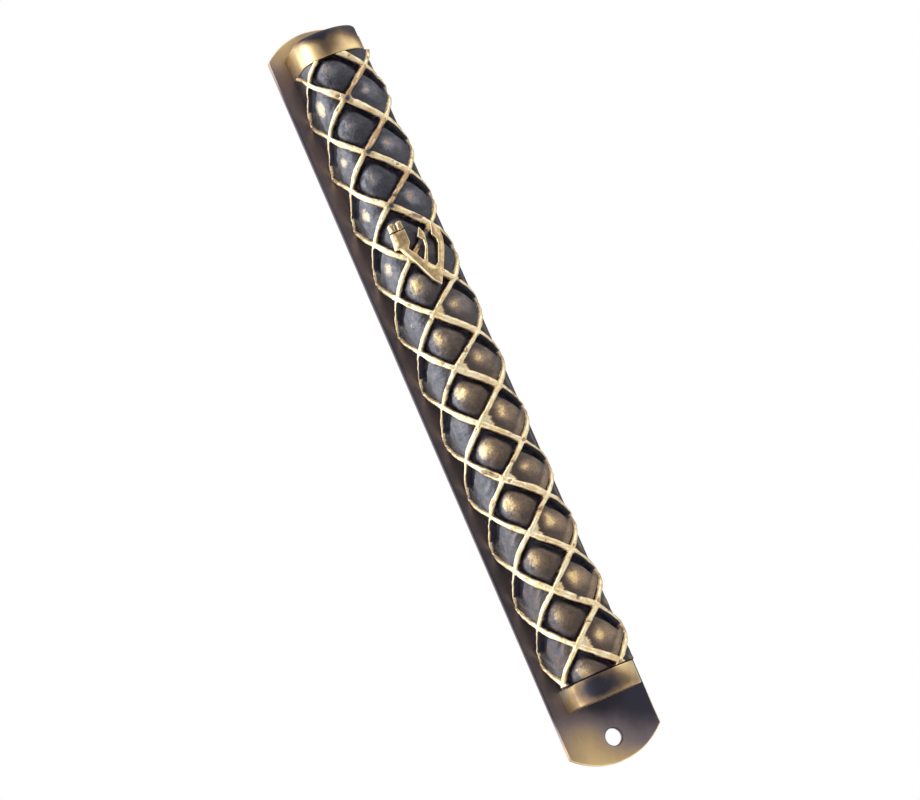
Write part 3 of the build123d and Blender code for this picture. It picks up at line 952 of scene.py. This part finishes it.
def cover_material():
    """Antiqued casting: polished ribs with painted shade on some, slate cells worn to gold on their
    crests under a painted highlight, black valleys.
    """
    s = Shader("antique_cover")
    rib, wear_light_and_shade, depth, wall = s.masks()
    grain = s.cloud(1.6, 6.0, 0.6)
    fine = s.cloud(9.0, 5.0, 0.65)
    cloud = s.cloud(0.28, 3.0, 0.5, shift=(11, 3, 5))
    mottle = s.cloud(0.6, 5.0, 0.62, shift=(4, 2, 9))
    speckle = s.swing(s.cloud(2.6, 3.0, 0.6, shift=(2, 2, 2)), 1.7)
    x, _, z = s.axes(s.place)

    lower = s.ramp(z, 40.0, -5.0)
    left, right = s.ramp(x, -4.0, -6.5), s.ramp(x, 3.0, 6.0)
    polish_sheen_and_shade = s.add(wear_light_and_shade, s.times(wear_light_and_shade, speckle))
    hazed = s.varied(polish_sheen_and_shade, mottle, 0.25)
    # Where a cell is painted bright, partly worn and partly a painted highlight, its crest turns pale
    # slate in the upper rows and earth brown lower down.
    crest = s.mix(lower, SLATE, EARTH)
    cell = s.mix(s.ramp(hazed, 0.02, 0.34), s.mix(lower, NIGHT, UMBER), crest)
    face = s.mix(s.ramp(hazed, 0.02, 0.30), SLATE_DARK, crest)
    cell = s.mix(s.times(right, 0.7), cell, face)
    # Cells left of the ridge are painted a paler slate, partly a painted reflection of the light from
    # the left, turning rust-brown lower down.
    side = s.mix(s.ramp(z, -20.0, -55.0), SLATE_PALE, SLATE_RUST)
    cell = s.mix(left, cell, s.mix(s.ramp(mottle, 0.36, 0.66), SLATE_DARK, side))
    # Brighter still, the spot turns gold and at its peak pale gold: a painted highlight over worn brass.
    cell = s.mix(s.ramp(polish_sheen_and_shade, 0.28, 0.56), cell, s.mix(left, CELL_GOLD, CELL_SILVER))
    warm = s.mix(s.ramp(z, -15.0, -50.0), GOLD, AMBER)
    cell = s.mix(s.ramp(polish_sheen_and_shade, 0.50, 0.82), cell, s.mix(left, warm, DULL_GOLD))
    cell = s.mix(s.ramp(polish_sheen_and_shade, 0.92, 1.40), cell, PALE_GOLD)
    cell = s.mix(s.ramp(s.varied(depth, grain, 0.16), 0.30, 0.72), cell, SOOT)
    cell = s.mix(s.ramp(depth, 0.90, 0.99), cell, PITCH)
    cell = s.mix(wall, cell, s.mix(s.ramp(cloud, 0.35, 0.65), SLATE_DARK, SLATE_BROWN))

    streak = s.ramp(s.cloud(0.7, 4.0, 0.6, shift=(8, 6, 1)), 0.34, 0.60)
    stain = s.ramp(s.cloud(1.5, 3.0, 0.6, shift=(5, 9, 2)), 0.64, 0.70)
    bar = s.mix(s.ramp(rib, 0.60, 0.92), BROWN_GOLD, s.mix(streak, GOLD, PALE_GOLD))
    # Ribs painted darker in that mask, as shade, turn copper brown.
    bar = s.mix(s.ramp(wear_light_and_shade, 0.2, 0.9), COPPER_BROWN, bar)
    bar = s.mix(stain, bar, BROWN)
    edge = s.varied(rib, grain, 0.25)
    s.set("Base Color", s.mix(s.ramp(edge, 0.30, 0.56), cell, bar))
    s.set("Metallic", s.ramp(depth, 0.6, 1.0, 1.0, 0.55))
    rough = s.add(s.ramp(rib, 0.2, 0.8, 0.26, 0.30), s.times(fine, 0.12))
    s.set("Roughness", s.add(rough, s.ramp(depth, 0.5, 1.0, 0.0, 0.25)))
    pits = s.ramp(s.cloud(3.2, 2.0, 0.5, shift=(1, 8, 4)), 0.66, 0.74)
    normal = s.bump(s.math("SUBTRACT", fine, s.times(pits, 1.5)), 0.6, 0.07)
    s.set("Normal", s.bump(grain, 0.6, 0.26, normal))
    return s.material


def cap_material():
    """Satin brass with clouded patina, the painted highlights and painted shade from its mask, and faint
    brushing round the band.
    """
    s = Shader("satin_caps")
    polish_and_painted_light, _, _, _ = s.masks()
    cloud = s.cloud(0.5, 5.0, 0.6, shift=(3, 1, 8))
    fine = s.cloud(6.0, 5.0, 0.6)
    brushed = s.cloud(1.0, 5.0, 0.7, stretch=(0.4, 0.4, 9))
    polish_and_painted_light = s.varied(polish_and_painted_light, cloud, 0.16)
    base = patina(s, polish_and_painted_light, CAP_BROWN)
    specks = s.ramp(s.cloud(4.5, 2.0, 0.5, shift=(7, 2, 9)), 0.70, 0.80)
    s.set("Base Color", s.mix(specks, base, BROWN))
    s.set("Metallic", 1.0)
    s.set("Roughness", s.add(s.ramp(polish_and_painted_light, 0.2, 0.9, 0.42, 0.32), s.times(brushed, 0.08)))
    normal = s.bump(brushed, 0.10, 0.03)
    s.set("Normal", s.bump(fine, 0.12, 0.02, normal))
    return s.material


def plate_material():
    """Brushed dark sheet: clouded patina with the painted highlights and painted shade from its mask,
    fine streaks along its length, edges worn pale.
    """
    s = Shader("brushed_plate")
    polish_and_painted_light, rim, _, _ = s.masks()
    streak = s.cloud(1.0, 6.0, 0.65, stretch=(5, 5, 0.12))
    hair = s.cloud(1.0, 3.0, 0.7, stretch=(22, 22, 0.25), shift=(4, 4, 4))
    cloud = s.cloud(0.35, 5.0, 0.6, shift=(2, 7, 1))
    polish_and_painted_light = s.varied(s.varied(polish_and_painted_light, cloud, 0.10), streak, 0.07)
    worn = s.ramp(s.varied(rim, cloud, 0.6), 0.35, 0.85, 0.0, 0.85)
    s.set("Base Color", s.mix(worn, patina(s, polish_and_painted_light, BROWN), GOLD))
    s.set("Metallic", 1.0)
    s.set("Roughness", s.add(s.ramp(streak, 0.3, 0.7, 0.44, 0.36), s.times(hair, 0.14)))
    s.set("Normal", s.bump(hair, 0.16, 0.03, s.bump(streak, 0.10, 0.05)))
    return s.material


def badge_material():
    """Polished antique brass: brown on the heads, yellow on the stems, pale along the edges."""
    s = Shader("badge_brass")
    edge, head, groove, _ = s.masks()
    grain = s.cloud(0.9, 5.0, 0.6, shift=(6, 6, 1))
    fine = s.cloud(5.0, 4.0, 0.6)
    base = s.mix(s.ramp(grain, 0.34, 0.60), COPPER_BROWN, GOLD)
    base = s.mix(s.times(head, s.ramp(grain, 0.3, 0.6, 0.95, 0.55)), base, BADGE_BROWN)
    base = s.mix(s.times(edge, 0.85), base, PALE_GOLD)
    base = s.mix(s.ramp(groove, 0.3, 0.8), base, SOOT)
    s.set("Base Color", base)
    s.set("Metallic", 1.0)
    s.set("Roughness", s.add(s.ramp(grain, 0.3, 0.7, 0.30, 0.24), s.times(fine, 0.08)))
    s.set("Normal", s.bump(fine, 0.12, 0.03, s.bump(grain, 0.2, 0.12)))
    return s.material


def hidden_brass_material():
    """Unpolished brass for the collar and the pins: dull, lightly scratched along its length."""
    s = Shader("plain_brass")
    cloud = s.cloud(0.5, 5.0, 0.6)
    scratch = s.cloud(1.0, 4.0, 0.7, stretch=(9, 9, 0.6))
    base = s.mix(s.ramp(cloud, 0.35, 0.65), BROWN_GOLD, GOLD)
    s.set("Base Color", s.mix(s.ramp(scratch, 0.60, 0.72), base, CAP_BROWN))
    s.set("Metallic", 1.0)
    s.set("Roughness", s.ramp(cloud, 0.3, 0.7, 0.34, 0.46))
    s.set("Normal", s.bump(scratch, 0.2, 0.03))
    return s.material


# ---- the studio ----

# Each soft box: azimuth of its middle, half width, edge softness, lowest and highest elevation,
# their softness, and strength.
SOFT_BOXES = (
    (-108, 58, 22, -22, 55, 16, 2.0),
    (10, 70, 25, 34, 64, 14, 1.0),
    (72, 32, 14, 6, 62, 14, 1.15),
    (180, 45, 22, -30, 60, 20, 0.52),
    (-180, 45, 22, -30, 60, 20, 0.52),
    (0, 180, 1, 66, 95, 10, 1.0),
    (20, 40, 25, -25, 30, 15, 0.42),
    (100, 60, 25, -38, 0, 9, 0.60),
)
ROOM_LIGHT = 0.165

# The camera, in degrees and mm, looking at a point near the middle of the case.
VIEW_AZIMUTH = -22.73
VIEW_ELEVATION = -8.36
VIEW_ROLL = -23.55
VIEW_DISTANCE = 559.6
VIEW_TARGET = (-3.17, -4.97, -2.86)
VIEW_LENS = 104.7
SENSOR_WIDTH = 36

# The window lamp, in metres and watts.
WINDOW_PLACE = (-0.48, -0.17, 0.24)
WINDOW_SIZE = (0.24, 0.32)
WINDOW_POWER = 1.3

# The floor's half width and height, in metres: well below the case, which hangs over it.
FLOOR_HALF = 0.5
FLOOR_Z = -0.30


def look_at(position, target, roll_degrees=0.0):
    """A matrix at position whose -Z looks at target with +Y up, rolled about the view."""
    turn = (target - position).to_track_quat("-Z", "Y").to_matrix().to_4x4()
    return Matrix.Translation(position) @ turn @ Matrix.Rotation(math.radians(roll_degrees), 4, "Z")


def make_camera():
    """A long lens to the left of the case and a little below its middle, rolled to one side."""
    azimuth, elevation = math.radians(VIEW_AZIMUTH), math.radians(VIEW_ELEVATION)
    target = Vector(VIEW_TARGET) * MM
    level = math.cos(elevation)
    back = Vector((math.sin(azimuth) * level, -math.cos(azimuth) * level, math.sin(elevation)))
    camera = bpy.data.objects.new("camera", bpy.data.cameras.new("camera"))
    camera.data.lens = VIEW_LENS
    camera.data.sensor_width = SENSOR_WIDTH
    camera.data.clip_start = 0.01
    camera.data.clip_end = 20
    camera.matrix_world = look_at(target + back * VIEW_DISTANCE * MM, target, VIEW_ROLL)
    link(camera)
    bpy.context.scene.camera = camera


def make_window():
    """A soft lamp close by on the left, for the light along the case's left edge."""
    lamp = bpy.data.lights.new("window", "AREA")
    lamp.shape = "RECTANGLE"
    lamp.size, lamp.size_y = WINDOW_SIZE
    lamp.energy = WINDOW_POWER
    lamp.color = (1.0, 0.98, 0.95)
    holder = bpy.data.objects.new("window", lamp)
    holder.matrix_world = look_at(Vector(WINDOW_PLACE), Vector((0, 0, 0)))
    link(holder)


def make_floor():
    """A pale floor, which only this scene shows."""
    signs = ((-1, -1), (1, -1), (1, 1), (-1, 1))
    corners = [(x * FLOOR_HALF, y * FLOOR_HALF, FLOOR_Z) for x, y in signs]
    mesh = bpy.data.meshes.new("floor")
    mesh.from_pydata(corners, [], [(0, 1, 2, 3)])
    floor = bpy.data.objects.new("floor", mesh)
    pale = Shader("pale_floor")
    pale.set("Base Color", (0.9, 0.9, 0.9, 1.0))
    pale.set("Roughness", 0.9)
    mesh.materials.append(pale.material)
    link(floor)


def make_world():
    """A white room for the eye, and for the metal a dim one with soft boxes round it.

    Azimuth is 0 in front of the case and positive to its right, in degrees, as elevation is.
    """
    world = bpy.data.worlds.new("studio")
    bpy.context.scene.world = world
    world.use_nodes = True
    w = Nodes(world.node_tree)
    x, y, z = w.axes(w.new("ShaderNodeTexCoord").outputs["Generated"])
    azimuth = w.times(w.math("ARCTAN2", x, w.times(y, -1)), math.degrees(1))
    elevation = w.times(w.math("ARCSINE", z), math.degrees(1))

    total = ROOM_LIGHT
    for centre, half, soft, low, high, lift, strength in SOFT_BOXES:
        off = w.math("ABSOLUTE", w.math("SUBTRACT", azimuth, centre))
        sideways = w.ramp(off, half + soft, half - soft)
        upward = w.ramp(elevation, low - lift, low + lift)
        downward = w.ramp(elevation, high + lift, high - lift)
        box = w.times(w.times(sideways, upward), downward)
        total = w.math("MULTIPLY_ADD", box, strength, total)

    background = w.tree.nodes["Background"]
    w.feed(background, "Color", (1.0, 1.0, 1.0, 1.0))
    w.feed(background, "Strength", 1.0)
    room = w.new("ShaderNodeBackground")
    w.feed(room, "Color", (1.0, 0.99, 0.98, 1.0))
    w.feed(room, "Strength", total)
    switch = w.new("ShaderNodeMixShader")
    w.feed(switch, 0, w.new("ShaderNodeLightPath").outputs["Is Camera Ray"])
    w.feed(switch, 1, room.outputs[0])
    w.feed(switch, 2, background.outputs[0])
    w.feed(w.tree.nodes["World Output"], "Surface", switch.outputs[0])


# ---- making it all ----

make_camera()
make_floor()
make_window()
make_world()
bpy.context.scene.view_settings.view_transform = "Standard"

make_lattice_cover(cover_material())

# The top cap stands a little off the backplate, so that it can slide.
caps = cap_material()
top_low, bottom_low = TOP_BAND_LOW.z, BOTTOM_BAND_LOW.z
top_base, bottom_base = TOP_BAND_HIGH.y, PLATE_FRONT
make_cap_band("top_band", "top_cap_band", "top_cap", top_low, TOP_BAND_HIGH.z, top_base,
              TOP_RIMS, caps, TOP_POLISH_LIGHT_SHADE_SPOTS)
make_cap_end("top_plate", "top_cap_end", "top_cap", TOP_END_LOW.z, TOP_END_HIGH.z, top_base,
             TOP_END_RIM, caps, top_low, TOP_POLISH_LIGHT_SHADE_SPOTS)
make_cap_band("bottom_band", "bottom_cap_band", "case", bottom_low, BOTTOM_BAND_HIGH.z, bottom_base,
              BOTTOM_RIMS, caps, BOTTOM_POLISH_LIGHT_SHADE_SPOTS)
make_cap_end("bottom_plate", "bottom_cap_end", "case", BOTTOM_END_HIGH.z, BOTTOM_END_LOW.z, bottom_base,
             BOTTOM_END_RIM, caps, bottom_low, BOTTOM_POLISH_LIGHT_SHADE_SPOTS)
make_backplate(plate_material())
make_badge_plate(badge_material())

hidden = hidden_brass_material()
for node in ("top_cap_sleeve", "badge_pins"):
    mesh = frame["nodes"][node].data
    mesh.materials.clear()
    mesh.materials.append(hidden)
